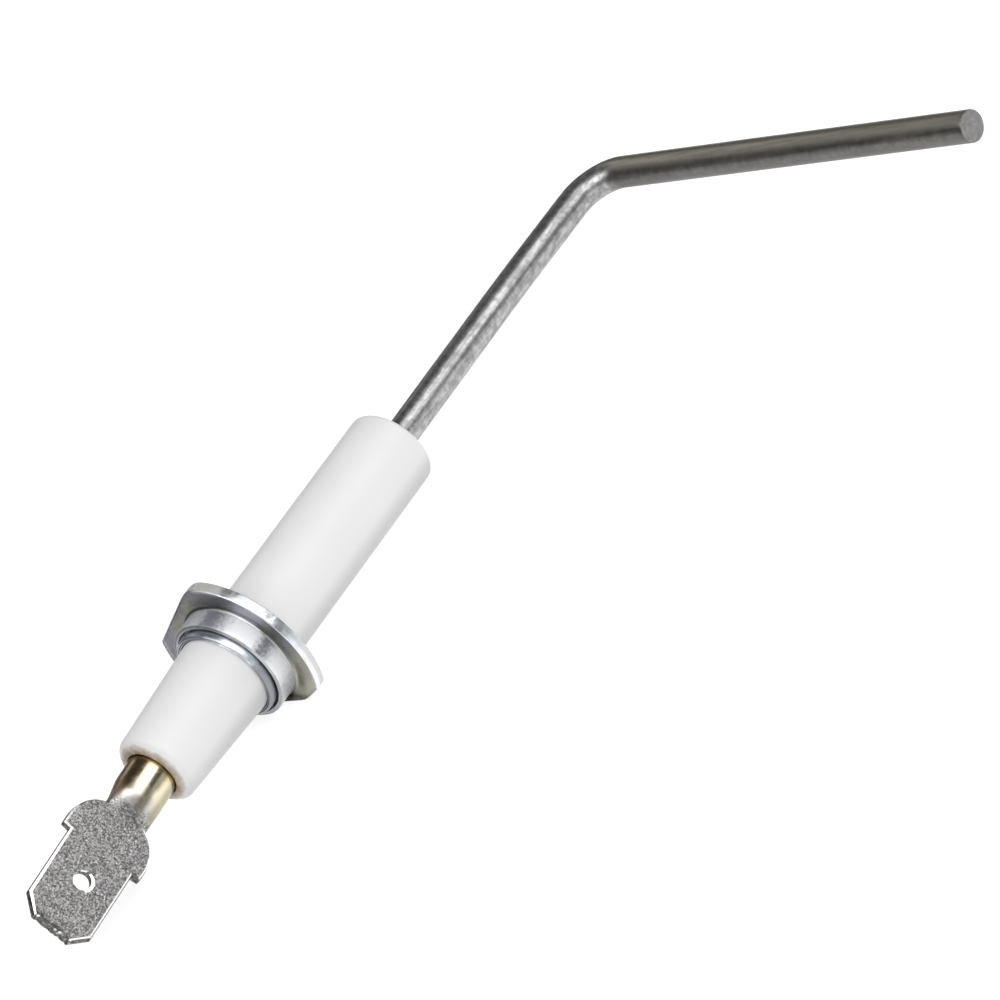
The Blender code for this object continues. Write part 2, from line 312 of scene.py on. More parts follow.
class Graph:
    """A Principled material with short calls for the nodes that these finishes share."""

    def __init__(self, name, metallic=0.0, specular=0.5):
        self.material = bpy.data.materials.new(name)
        self.material.use_nodes = True
        self.tree = self.material.node_tree
        self.shader = self.tree.nodes["Principled BSDF"]
        self.shader.inputs["Metallic"].default_value = metallic
        self.shader.inputs["Specular IOR Level"].default_value = specular
        place = self.tree.nodes.new("ShaderNodeTexCoord")
        scaled = self.tree.nodes.new("ShaderNodeVectorMath")
        scaled.operation = "SCALE"
        scaled.inputs["Scale"].default_value = 1 / MM
        self.tree.links.new(place.outputs["Object"], scaled.inputs[0])
        self.mm = scaled.outputs[0]
        parts = self.tree.nodes.new("ShaderNodeSeparateXYZ")
        self.tree.links.new(self.mm, parts.inputs[0])
        self.x, self.y, self.z = parts.outputs

    def put(self, socket, value):
        """Links the value to the socket if it is one itself, and otherwise sets it."""
        if isinstance(value, bpy.types.NodeSocket):
            self.tree.links.new(value, socket)
        elif isinstance(value, tuple) and len(value) == 3 and socket.type == "RGBA":
            socket.default_value = (*value, 1.0)
        else:
            socket.default_value = value

    def math(self, operation, a, b=0.0):
        node = self.tree.nodes.new("ShaderNodeMath")
        node.operation = operation
        self.put(node.inputs[0], a)
        self.put(node.inputs[1], b)
        return node.outputs[0]

    def plus(self, a, b):
        return self.math("ADD", a, b)

    def minus(self, a, b):
        return self.math("SUBTRACT", a, b)

    def times(self, first, *others):
        total = first
        for other in others:
            total = self.math("MULTIPLY", total, other)
        return total

    def most(self, first, *others):
        """The greatest of these values."""
        greatest = first
        for other in others:
            greatest = self.math("MAXIMUM", greatest, other)
        return greatest

    def length(self, a, b):
        """Length of the vector (a, b)."""
        return self.math("SQRT", self.plus(self.times(a, a), self.times(b, b)))

    def weighed(self, weights):
        """y and z times their weights, added up."""
        return self.plus(self.times(self.y, weights[0]), self.times(self.z, weights[1]))

    def ragged(self, value, grain, amount):
        """The value moved up or down by up to half this amount, as the grain of 0 to 1 says."""
        return self.plus(value, self.times(self.minus(grain, 0.5), amount))

    def ramp(self, value, low, high, start=0.0, end=1.0):
        """The value's share of the way from low to high, smoothed, as a number from start to end."""
        node = self.tree.nodes.new("ShaderNodeMapRange")
        node.interpolation_type = "SMOOTHSTEP"
        self.put(node.inputs["Value"], value)
        for name, number in (("From Min", low), ("From Max", high), ("To Min", start), ("To Max", end)):
            node.inputs[name].default_value = number
        return node.outputs["Result"]

    def stretched(self, scale):
        """The position, scaled along each axis."""
        node = self.tree.nodes.new("ShaderNodeVectorMath")
        node.operation = "MULTIPLY"
        self.tree.links.new(self.mm, node.inputs[0])
        node.inputs[1].default_value = scale
        return node.outputs[0]

    def noise(self, size, detail=3.0, roughness=0.5, vector=None):
        """Noise from 0 to 1, with features of about this size."""
        node = self.tree.nodes.new("ShaderNodeTexNoise")
        self.tree.links.new(vector or self.mm, node.inputs["Vector"])
        node.inputs["Scale"].default_value = 1 / size
        node.inputs["Detail"].default_value = detail
        node.inputs["Roughness"].default_value = roughness
        return node.outputs["Fac"]

    def cells(self, size):
        """Distance to the middle of the nearest cell, for cells of about this size."""
        node = self.tree.nodes.new("ShaderNodeTexVoronoi")
        self.tree.links.new(self.mm, node.inputs["Vector"])
        node.inputs["Scale"].default_value = 1 / size
        return node.outputs["Distance"]

    def mix(self, share, a, b):
        """A colour on the way from a to b."""
        node = self.tree.nodes.new("ShaderNodeMix")
        node.data_type = "RGBA"
        self.put(node.inputs[0], share)
        self.put(node.inputs[6], a)
        self.put(node.inputs[7], b)
        return node.outputs[2]

    def between(self, share, a, b):
        """A number on the way from a to b."""
        node = self.tree.nodes.new("ShaderNodeMix")
        self.put(node.inputs[0], share)
        self.put(node.inputs[2], a)
        self.put(node.inputs[3], b)
        return node.outputs[0]

    def bump(self, height, strength, distance, under=None):
        node = self.tree.nodes.new("ShaderNodeBump")
        node.inputs["Strength"].default_value = strength
        node.inputs["Distance"].default_value = distance * MM
        self.put(node.inputs["Height"], height)
        if under:
            self.tree.links.new(under, node.inputs["Normal"])
        return node.outputs["Normal"]

    def finish(self, colour, roughness, normal=None):
        self.put(self.shader.inputs["Base Color"], colour)
        self.put(self.shader.inputs["Roughness"], roughness)
        if normal:
            self.tree.links.new(normal, self.shader.inputs["Normal"])
        return self.material


def ceramic_material():
    """Satin white alumina, with painted shade on its lower side, and painted shade and a brown painted
    reflection of the brass neck where the terminal leaves it.
    """
    cool_white = (0.7, 0.7, 0.703)
    plain_white = (0.735, 0.735, 0.735)
    grey_grain = (0.58, 0.575, 0.57)
    painted_shade_below = (0.42, 0.42, 0.425)
    shade_and_brass_reflection = (0.27, 0.2, 0.12)
    g = Graph("white_ceramic", specular=0.35)
    grain = g.noise(0.12, 4.0, 0.6)
    colour = g.mix(g.noise(6.0, 2.0), cool_white, plain_white)
    colour = g.mix(g.ramp(grain, 0.7, 0.85, 0.0, 0.25), colour, grey_grain)
    # painted shade: greyer towards the lower side
    colour = g.mix(g.ramp(g.weighed(ACROSS_INSULATOR), 0.62, 1.0, 0.0, 0.7), colour, painted_shade_below)
    # painted shade and a brown painted reflection of the brass neck, on the end around the neck
    end = g.ramp(g.plus(g.x, g.times(g.noise(0.9), 0.5)), -13.55, -13.8)
    near_neck = g.ramp(g.length(g.y, g.z), 3.5, 2.3, 0.25, 1.0)
    shade_and_reflection_share = g.times(end, near_neck, g.ramp(g.noise(0.5), 0.2, 0.7, 0.6, 1.0))
    colour = g.mix(shade_and_reflection_share, colour, shade_and_brass_reflection)
    roughness = g.ramp(g.noise(1.6), 0.3, 0.7, 0.4, 0.52)
    normal = g.bump(grain, strength=0.12, distance=0.02)
    normal = g.bump(g.noise(2.5, 2.0), strength=0.15, distance=0.08, under=normal)
    return g.finish(colour, roughness, normal)


def cement_material():
    dark_grain, light_grain = (0.42, 0.39, 0.34), (0.66, 0.64, 0.58)
    g = Graph("refractory_cement", specular=0.25)
    grain = g.noise(0.15, 5.0, 0.65)
    colour = g.mix(grain, dark_grain, light_grain)
    return g.finish(colour, roughness=0.88, normal=g.bump(grain, strength=0.6, distance=0.05))


def face_shade(g, radius, around, painted_collar_reflection):
    """Colour of the flange's dull face: painted shade at the collar's root, painted light on its lower side
    and towards +Y, and a painted reflection of the collar on its upper side.
    """
    dark_grey, light_grey = (0.15, 0.15, 0.165), (0.27, 0.27, 0.28)
    painted_light_violet = (0.24, 0.235, 0.265)
    painted_root_shade = (0.09, 0.09, 0.08)
    painted_light_straw = (0.5, 0.49, 0.43)
    painted_reflection_violet = (0.42, 0.42, 0.48)
    shade = g.mix(g.noise(0.5, 4.0, 0.6), dark_grey, light_grey)
    # painted light: lighter and violet towards +Y
    shade = g.mix(g.ramp(g.y, 2.0, 6.5, 0.0, 0.6), shade, painted_light_violet)
    # painted shade at the collar's root
    shade = g.mix(g.ramp(radius, 5.5, 5.3, 0.0, 0.7), shade, painted_root_shade)
    # painted light: lighter and straw-coloured on the lower side
    shade = g.mix(g.ramp(around, 0.45, 1.1), shade, painted_light_straw)
    # painted reflection of the collar: paler and violet on the upper side
    return g.mix(g.times(painted_collar_reflection, 0.7), shade, painted_reflection_violet)


def painted_reflection_bands(g, around):
    """Colour of the collar's wall: painted highlights and painted dark reflections in bands that run along
    it, with ragged edges.
    """
    place = g.ragged(around, g.noise(0.3, 5.0, 0.65), 0.32)
    broad = g.times(g.ramp(place, -0.66, -0.28), g.ramp(place, 0.26, 0.04))
    narrow = g.times(g.ramp(place, 0.22, 0.52), g.ramp(place, 0.95, 0.68, 0.35, 0.95))
    upper = g.ramp(place, -0.72, -0.85, 0.0, 0.35)
    painted_dark_reflection, painted_highlight = (0.2, 0.205, 0.24), (0.96, 0.98, 1.0)
    return g.mix(g.most(broad, narrow, upper), painted_dark_reflection, painted_highlight)


def zinc_material():
    """Bright zinc: bluish, with olive and violet tints, a dull face and a pitted, streaked rim; painted
    highlights and dark reflections in bands on the collar's wall, a painted highlight on the rim's upper
    side, and painted shade and light on the rim's back and the collar's mouth.
    """
    bluish, rosy = (0.74, 0.78, 0.84), (0.86, 0.84, 0.86)
    clouded = (0.6, 0.68, 0.78)
    olive_tint = (0.25, 0.25, 0.15)
    pit_grey = (0.16, 0.17, 0.2)
    painted_rim_shade = (0.4, 0.415, 0.4)
    dim_sheen, bright_sheen = (0.3, 0.3, 0.29), (0.5, 0.5, 0.48)
    painted_shade_lip, light_lip, painted_light_lip = (0.14, 0.14, 0.145), (0.36, 0.36, 0.365), (0.52, 0.53, 0.53)
    g = Graph("zinc_plated_steel", metallic=1.0)
    radius = g.length(g.y, g.z)
    around = g.weighed(ACROSS_COLLAR)
    flat_distance = FLATS[0][1]

    colour = g.mix(g.ramp(g.noise(1.3, 3.0, 0.55), 0.35, 0.65), bluish, rosy)
    colour = g.mix(g.ramp(g.noise(0.8, 2.0), 0.55, 0.72, 0.0, 0.6), colour, clouded)

    face = g.times(
        g.ramp(radius, COLLAR_RADIUS + 0.02, COLLAR_RADIUS + 0.06),
        g.ramp(radius, FLANGE_RADIUS - 0.08, FLANGE_RADIUS - 0.18),
        g.ramp(g.x, -0.15, -0.3),
        g.ramp(g.weighed(TOWARDS_FIRST_FLAT), flat_distance - 0.05, flat_distance - 0.11),
    )
    # where the collar's painted reflection lies on the face, about its upper middle
    painted_collar_reflection = g.times(g.ramp(around, -0.65, -0.4), g.ramp(around, 0.08, -0.1))
    colour = g.mix(face, colour, face_shade(g, radius, around, painted_collar_reflection))

    olive = g.times(
        g.ramp(radius, 5.3, 5.5),
        g.ramp(radius, 6.6, 5.8),
        g.ramp(g.x, -0.2, -0.3),
        g.ramp(g.noise(2.2, 2.0), 0.42, 0.6, 0.1, 0.8),
        g.minus(1.0, painted_collar_reflection),
    )
    colour = g.mix(olive, colour, olive_tint)

    pits = g.times(
        g.ramp(g.cells(0.42), 0.16, 0.07),
        g.ramp(radius, FLANGE_RADIUS - 0.2, FLANGE_RADIUS - 0.3),
        g.ramp(g.noise(1.1, 2.0), 0.52, 0.66),
    )
    rim_streaks = g.times(
        g.ramp(radius, FLANGE_RADIUS - 0.2, FLANGE_RADIUS - 0.1),
        g.ramp(g.x, -0.55, -0.35),
        g.times(g.ramp(around, -0.75, -0.5), g.ramp(around, 0.2, 0.0)),
        g.ramp(g.noise(0.55), 0.5, 0.68),
    )
    colour = g.mix(g.times(g.most(pits, rim_streaks), 0.65), colour, pit_grey)
    # painted shade on the back half of the rim
    rim_back_shade = g.times(g.ramp(radius, FLANGE_RADIUS - 0.3, FLANGE_RADIUS - 0.2), g.ramp(g.x, -0.75, -0.45))
    colour = g.mix(g.times(rim_back_shade, 0.55), colour, painted_rim_shade)

    # painted highlight on the rim's upper side, grey and not metallic
    painted_rim_sheen = g.times(
        g.ramp(radius, FLANGE_RADIUS - 0.5, FLANGE_RADIUS - 0.3),
        g.ramp(around, -0.72, -0.86),
        g.ramp(g.x, -0.98, -0.9),
    )
    colour = g.mix(painted_rim_sheen, colour, g.mix(g.noise(0.5, 4.0), dim_sheen, bright_sheen))

    wall = g.times(
        g.ramp(radius, COLLAR_RADIUS + 0.06, COLLAR_RADIUS + 0.02),
        g.ramp(radius, COLLAR_RADIUS - 0.2, COLLAR_RADIUS - 0.13),
        g.times(g.ramp(g.x, -0.45, -0.75), g.ramp(g.x, COLLAR_MOUTH + 0.04, COLLAR_MOUTH + 0.14)),
    )
    # painted highlights and painted dark reflections in bands along the collar's wall
    colour = g.mix(wall, colour, painted_reflection_bands(g, around))

    mouth = g.times(
        g.ramp(g.x, COLLAR_MOUTH + 0.12, COLLAR_MOUTH + 0.05),
        g.ramp(radius, COLLAR_BORE_RADIUS + 0.05, COLLAR_BORE_RADIUS + 0.15),
    )
    # painted shade on the mouth's upper side and painted light across its lower middle
    painted_light_share = g.times(g.ramp(around, -0.1, 0.2), g.ramp(around, 0.8, 0.5))
    lip = g.mix(g.ramp(around, -0.55, -0.35), painted_shade_lip, light_lip)
    colour = g.mix(mouth, colour, g.mix(painted_light_share, lip, painted_light_lip))

    g.put(g.shader.inputs["Metallic"], g.minus(1.0, g.most(wall, mouth, painted_rim_sheen)))
    roughness = g.plus(g.ramp(g.noise(0.6, 4.0), 0.3, 0.7, 0.26, 0.38), g.times(face, 0.15))
    normal = g.bump(g.noise(0.8, 3.0, 0.55), strength=0.12, distance=0.06)
    normal = g.bump(g.noise(0.16, 4.0, 0.6), strength=0.3, distance=0.025, under=normal)
    return g.finish(colour, roughness, normal)


def ring_material():
    """Zinc, with painted shade on the ring's upper side and on its lower side."""
    bluish, white = (0.72, 0.77, 0.86), (0.9, 0.9, 0.93)
    stain = (0.3, 0.33, 0.38)
    painted_shade_above, painted_shade_below = (0.4, 0.42, 0.47), (0.28, 0.29, 0.31)
    g = Graph("zinc_plated_ring", metallic=1.0)
    colour = g.mix(g.ramp(g.noise(0.9), 0.35, 0.65), bluish, white)
    colour = g.mix(g.ramp(g.noise(0.35), 0.62, 0.75, 0.0, 0.7), colour, stain)
    around = g.ragged(g.weighed(ACROSS_COLLAR), g.noise(0.5), 0.2)
    # painted shade on the ring's upper side and on its lower side
    colour = g.mix(g.ramp(around, -0.26, -0.44), colour, painted_shade_above)
    colour = g.mix(g.ramp(around, 0.18, 0.38), colour, painted_shade_below)
    dents = g.noise(0.4)
    roughness = g.ramp(dents, 0.3, 0.7, 0.32, 0.46)
    return g.finish(colour, roughness, g.bump(dents, strength=0.12, distance=0.04))


def rod_material():
    """Drawn heat-resistant wire: streaked along its length, duller and browner past the bend, with painted
    light on its top and painted shade on its underside there.
    """
    grey, light_grey = (0.33, 0.325, 0.325), (0.53, 0.53, 0.535)
    violet_glint = (0.66, 0.63, 0.78)
    dark_brown, brown = (0.13, 0.125, 0.12), (0.19, 0.18, 0.17)
    painted_light_tan, painted_shade_violet = (0.46, 0.43, 0.36), (0.115, 0.105, 0.125)
    streak_grey, speck_black = (0.16, 0.155, 0.145), (0.08, 0.075, 0.07)
    g = Graph("heat_resistant_steel", metallic=1.0)
    free = g.ramp(g.y, -2.2, -4.4)
    before_bend = g.noise(0.28, 4.0, 0.6, g.stretched((0.06, 1.0, 1.0)))
    past_bend = g.noise(0.28, 4.0, 0.6, g.stretched((1.0, 0.06, 1.0)))
    streak = g.between(free, before_bend, past_bend)
    mottle = g.noise(0.7, 5.0, 0.65)
    plain = g.mix(g.ramp(mottle, 0.38, 0.62), grey, light_grey)
    plain = g.mix(g.ramp(g.x, 25.4, 24.3, 0.0, 0.7), plain, violet_glint)
    dull = g.mix(g.ramp(mottle, 0.3, 0.7), dark_brown, brown)
    # painted light on the top past the bend, and painted shade on the underside
    dull = g.mix(g.ramp(g.z, 0.7, 1.35), dull, painted_light_tan)
    dull = g.mix(g.ramp(g.z, 0.1, -1.1, 0.0, 0.9), dull, painted_shade_violet)
    colour = g.mix(free, plain, dull)
    colour = g.mix(g.ramp(streak, 0.35, 0.7, 0.0, 0.45), colour, streak_grey)
    colour = g.mix(g.ramp(g.noise(0.16), 0.66, 0.76, 0.0, 0.5), colour, speck_black)
    roughness = g.plus(g.ramp(streak, 0.3, 0.7, 0.3, 0.42), g.times(free, 0.06))
    normal = g.bump(streak, strength=0.15, distance=0.03)
    normal = g.bump(g.noise(0.22, 4.0, 0.65), strength=0.38, distance=0.03, under=normal)
    return g.finish(colour, roughness, normal)


def cut_material():
    """The sheared end of the rod."""
    dark_grain, light_grain = (0.14, 0.135, 0.13), (0.36, 0.35, 0.35)
    g = Graph("sheared_steel", metallic=1.0)
    grain = g.noise(0.35, 4.0, 0.6)
    colour = g.mix(grain, dark_grain, light_grain)
    return g.finish(colour, roughness=0.48, normal=g.bump(grain, strength=0.5, distance=0.05))


def neck_shade(g):
    """Colour of the polished neck: pale gold turning to silver, browner in patches on its upper side, with
    painted shade in a band along it and on its upper and lower sides.
    """
    full_gold, pale_gold, front_gold = (0.78, 0.7, 0.5), (0.84, 0.78, 0.62), (0.62, 0.45, 0.2)
    silver = (0.58, 0.57, 0.54)
    upper_side_brown, painted_upper_shade = (0.3, 0.19, 0.1), (0.22, 0.13, 0.07)
    painted_shade_olive, painted_lower_shade = (0.14, 0.125, 0.07), (0.3, 0.27, 0.16)
    gold = g.mix(g.ramp(g.noise(1.2, 2.0), 0.35, 0.65), full_gold, pale_gold)
    gold = g.mix(g.ramp(g.x, -14.9, -14.1), gold, front_gold)
    shade = g.mix(g.ramp(g.x, -16.2, -18.0), gold, silver)
    # browner in patches on the upper side
    brown_above_share = g.times(g.ramp(g.z, 1.3, 1.9), g.ramp(g.noise(0.9), 0.25, 0.6, 0.35, 0.8))
    shade = g.mix(g.times(brown_above_share, g.ramp(g.x, -18.2, -16.8)), shade, upper_side_brown)
    around = g.ragged(g.weighed(ACROSS_NECK), g.noise(0.6), 0.12)
    # painted shade in a band along the neck's lower half
    painted_shade_band = g.times(g.ramp(around, 0.05, 0.27, 0.0, 0.75), g.ramp(around, 0.62, 0.42))
    shade = g.mix(painted_shade_band, shade, painted_shade_olive)
    # painted shade towards the lower side
    shade = g.mix(g.ramp(around, 0.66, 0.9, 0.0, 0.7), shade, painted_lower_shade)
    # painted shade on the upper side
    return g.mix(g.ramp(around, -0.4, -0.55, 0.0, 0.65), shade, painted_upper_shade)


def blasted_shade(g):
    """Colour of the blasted tab: grey with bright crystals, faint tints and a darker tip."""
    dark_grey, light_grey = (0.12, 0.118, 0.116), (0.48, 0.47, 0.465)
    crystal = (0.95, 0.95, 0.94)
    violet_tint, green_tint = (0.36, 0.3, 0.37), (0.3, 0.36, 0.3)
    dark_tip = (0.05, 0.05, 0.05)
    fine = g.noise(0.16, 2.0, 0.7)
    coarse = g.noise(0.42, 3.0, 0.6)
    blend = g.plus(g.times(fine, 0.75), g.times(coarse, 0.25))
    shade = g.mix(g.ramp(blend, 0.4, 0.6), dark_grey, light_grey)
    shade = g.mix(g.ramp(fine, 0.6, 0.74, 0.0, 0.8), shade, crystal)
    hue = g.noise(0.9, 2.0)
    shade = g.mix(g.ramp(hue, 0.55, 0.75, 0.0, 0.25), shade, violet_tint)
    shade = g.mix(g.ramp(hue, 0.45, 0.25, 0.0, 0.25), shade, green_tint)
    # darker towards the tip, past a ragged line
    ragged_station = g.plus(g.x, g.times(g.noise(0.35, 4.0), 1.2))
    return g.mix(g.ramp(ragged_station, -29.35, -29.75, 0.0, 0.85), shade, dark_tip)


def terminal_material():
    """Polished pale-gold neck that turns into a blasted grey tab with a crystalline sparkle."""
    g = Graph("nickel_plated_brass", metallic=1.0)
    tab = g.ramp(g.ragged(g.x, g.noise(0.5, 4.0), 1.4), -17.7, -18.6)
    colour = g.mix(tab, neck_shade(g), blasted_shade(g))
    roughness = g.plus(g.ramp(g.x, -15.6, -18.0, 0.19, 0.42), g.ramp(g.noise(0.5), 0.3, 0.7, 0.0, 0.08))
    normal = g.bump(g.times(g.noise(0.14, 2.0, 0.6), tab), strength=0.5, distance=0.05)
    normal = g.bump(g.noise(1.4, 2.0), strength=0.06, distance=0.05, under=normal)
    return g.finish(colour, roughness, normal)


def tab_edge_material():
    """The coined bevel round the tab's front."""
    dull_silver, bright_silver = (0.82, 0.82, 0.81), (0.95, 0.95, 0.95)
    g = Graph("coined_edge", metallic=1.0)
    grain = g.noise(0.3, 4.0, 0.6)
    colour = g.mix(grain, dull_silver, bright_silver)
    return g.finish(colour, roughness=0.2, normal=g.bump(grain, strength=0.15, distance=0.03))


def tab_wall_material():
    """The sheared side wall of the tab and its hole, nearly black: painted shade, with bright specks."""
    black, dark_grey, glint = (0.04, 0.038, 0.036), (0.2, 0.195, 0.19), (0.9, 0.9, 0.9)
    g = Graph("sheared_edge_painted_shade", metallic=1.0)
    grain = g.noise(0.3, 4.0, 0.6)
    # nearly black walls: painted shade
    colour = g.mix(g.ramp(grain, 0.35, 0.6), black, dark_grey)
    colour = g.mix(g.ramp(grain, 0.62, 0.7), colour, glint)
    return g.finish(colour, roughness=0.42, normal=g.bump(grain, strength=0.6, distance=0.05))


def graphite_material():
    black, dark_grey = (0.05, 0.05, 0.055), (0.12, 0.12, 0.125)
    g = Graph("graphite_gasket", specular=0.3)
    grain = g.noise(0.2, 4.0)
    colour = g.mix(grain, black, dark_grey)
    return g.finish(colour, roughness=0.7, normal=g.bump(grain, strength=0.3, distance=0.05))


# ---------------------------------------------------------------------------------------------------
# Pieces


def build_insulator(material):
    """Ceramic body: spark half, shoulder and tapered terminal half, with its socket, bore and pocket."""
    outer = arc((INSULATOR_RADIUS - FRONT_EDGE, INSULATOR_FRONT - FRONT_EDGE), FRONT_EDGE, 90, 0, 10)
    outer += [
        (INSULATOR_RADIUS, SHOULDER_FRONT),
        (SHOULDER_RADIUS, SHOULDER_FRONT),
        (SHOULDER_RADIUS, SHOULDER_BACK),
        (TAPER_ROOT_RADIUS, SHOULDER_FOOT),
        (TAPER_ROOT_RADIUS, TAPER_ROOT),
    ]
    for inwards, share in CHAMFER_CURVE:
        outer.append((TAPER_RADIUS - inwards, INSULATOR_BACK + share * CHAMFER))
    socket = NECK_RADIUS + NECK_CLEARANCE
    inner = [
        (socket + SOCKET_EDGE, INSULATOR_BACK),
        (socket, INSULATOR_BACK + SOCKET_EDGE),
        (socket, SOCKET_BOTTOM),
        (BORE_RADIUS, SOCKET_BOTTOM),
        (BORE_RADIUS, POCKET_BOTTOM),
        (POCKET_RADIUS, POCKET_BOTTOM),
        (POCKET_RADIUS, INSULATOR_FRONT - POCKET_EDGE),
        (POCKET_RADIUS + POCKET_EDGE, INSULATOR_FRONT),
    ]
    outside = 3.0

    def move(r, x, angle):
        if r < outside:
            return r, x
        y, z = r * math.cos(angle), r * math.sin(angle)
        swell = 0.012 * wobble(x, y, z, size=5.0, seed=3.0)
        ripple = 0.004 * wobble(x, y, z, size=1.2, seed=8.0)
        return r + swell + ripple, x

    mesh = revolve("ceramic_body", split_long(outer + inner, 1.2), 160, move)
    add_object("ceramic_body", mesh, [material], replaces="insulator")


def build_front_cement(material):
    """Cement plug with an uneven face."""

    def move(r, x, angle):
        if x < CEMENT_FACE:
            return r, x
        y, z = r * math.cos(angle), r * math.sin(angle)
        return r, x + 0.05 * wobble(x, y, z, size=0.8, seed=5.0)

    mesh = revolve("cement_plug", split_long(FRONT_CEMENT, 0.3), 96, move)
    add_object("cement_plug", mesh, [material], replaces="front_cement")


def flat_limit(angle):
    """Distance from the axis to the flange's outline in this direction, its corners rounded off."""
    limit = FLANGE_RADIUS
    for direction, distance, before, after in FLATS:
        turned = angle - math.radians(direction)
        facing = math.cos(turned)
        if facing > 0.1:
            flat = distance / facing
            softness = after if math.sin(turned) > 0.0 else before
            nearness = max(softness - abs(limit - flat), 0.0) / softness
            limit = min(limit, flat) - nearness * nearness * softness / 4
    return limit


def build_flange(material):
    """Flange with a dished face, a collar, a lip inside it and straight cuts in the outline."""
    face = -FLANGE_THICKNESS
    root = face + DISH_DEPTH
    rim_start = FLANGE_RADIUS - FLANGE_EDGE
    slack = 0.01
    profile = [(FLANGE_HOLE_RADIUS, 0.0)]
    profile += arc((rim_start, -FLANGE_EDGE), FLANGE_EDGE, 90, 0, 4)
    profile += arc((rim_start, face + FLANGE_EDGE), FLANGE_EDGE, 0, -90, 4)
    profile += arc((COLLAR_RADIUS + COLLAR_FILLET, root - COLLAR_FILLET), COLLAR_FILLET, 90, 180, 14)
    profile += arc((COLLAR_RADIUS - COLLAR_EDGE, COLLAR_MOUTH + COLLAR_EDGE), COLLAR_EDGE, 0, -90, 8)
    profile += [
        (COLLAR_BORE_RADIUS + COLLAR_INNER_EDGE, COLLAR_MOUTH),
        (COLLAR_BORE_RADIUS, COLLAR_MOUTH + COLLAR_INNER_EDGE),
        (COLLAR_BORE_RADIUS, LIP_BACK),
        (FLANGE_HOLE_RADIUS, LIP_BACK),
    ]

    def move(r, x, angle):
        """Cuts the flats into the outline, then bends the collar's wall, dents the rim and the face."""
        y, z = r * math.cos(angle), r * math.sin(angle)
        limit = flat_limit(angle)
        if r > rim_start - slack:
            r = limit - (FLANGE_RADIUS - r)
        else:
            r = min(r, limit - (FLANGE_EDGE if r > COLLAR_RADIUS + 0.3 else 0.0))
        if COLLAR_BORE_RADIUS + 0.2 < r < COLLAR_RADIUS + 0.05 and x < root:
            r += 0.006 * wobble(x, y, z, size=2.4, seed=4.0)
        elif r > rim_start and limit > FLANGE_RADIUS - slack:
            r -= 0.05 * max(0.0, wobble(x, y, z, size=0.55, seed=11.0) - 0.1)
        elif r > COLLAR_RADIUS + 0.2 and x < -0.2:
            x += 0.01 * wobble(x, y, z, size=2.0, seed=6.0)
        return min(r, limit), x

    mesh = revolve("pressed_flange", split_long(profile, 0.35), 480, move)
    add_object("pressed_flange", mesh, [material], replaces="mounting_flange")


def build_ring(material):
    """Ring in the collar's mouth, slightly uneven."""

    def move(r, x, angle):
        y, z = r * math.cos(angle), r * math.sin(angle)
        bulge = 0.005 * wobble(x, y, z, size=1.6, seed=9.0)
        shift = 0.02 * wobble(x, y, z, size=3.0, seed=2.0)
        return r + bulge, x + shift

    mesh = revolve("collar_ring", RING_PROFILE, 200, move)
    add_object(
        "collar_ring", mesh, [material], replaces="retaining_ring", sharp=50.0
    )


def heading(angle):
    """Direction in the plane z = 0, turned by this angle from +X towards -Y."""
    return Vector((math.cos(angle), -math.sin(angle), 0.0))


def rod_route():
    """Stations on the rod's centre line, as (point, direction), with its end point and last direction."""
    lean, free = heading(LEAN), heading(FREE_ANGLE)
    corner = Vector((LEAN_START, 0.0, 0.0)) + lean * (CORNER - LEAN_START) / lean.x
    turn = FREE_ANGLE - LEAN
    bend = corner - lean * BEND_RADIUS * math.tan(turn / 2)
    bend_centre = bend + Vector((lean.y, -lean.x, 0.0)) * BEND_RADIUS
    first = LEAN_START - LEAN_LENGTH / 2
    route = []
    for i in range(STRAIGHT_STEPS):
        x = ROD_BACK + (first - ROD_BACK) * i / STRAIGHT_STEPS
        route.append((Vector((x, 0.0, 0.0)), heading(0.0)))
    lean_radius = LEAN_LENGTH / 2 / math.tan(LEAN / 2)
    for i in range(LEAN_STEPS):
        angle = LEAN * i / LEAN_STEPS
        x = first + lean_radius * math.sin(angle)
        route.append((Vector((x, -lean_radius * (1 - math.cos(angle)), 0.0)), heading(angle)))
    begin = route[-1][0] + (bend - route[-1][0]) * AFTER_LEAN
    for i in range(LEAN_STEPS):
        route.append((begin + (bend - begin) * i / LEAN_STEPS, lean))
    for i in range(BEND_STEPS + 1):
        angle = LEAN + turn * i / BEND_STEPS
        point = bend_centre + Vector((math.sin(angle), math.cos(angle), 0.0)) * BEND_RADIUS
        route.append((point, heading(angle)))
    end = corner + free * FREE_LENGTH
    begin = route[-1][0]
    for i in range(1, FREE_STEPS):
        route.append((begin + (end - begin) * i / FREE_STEPS, free))
    return route, end, free


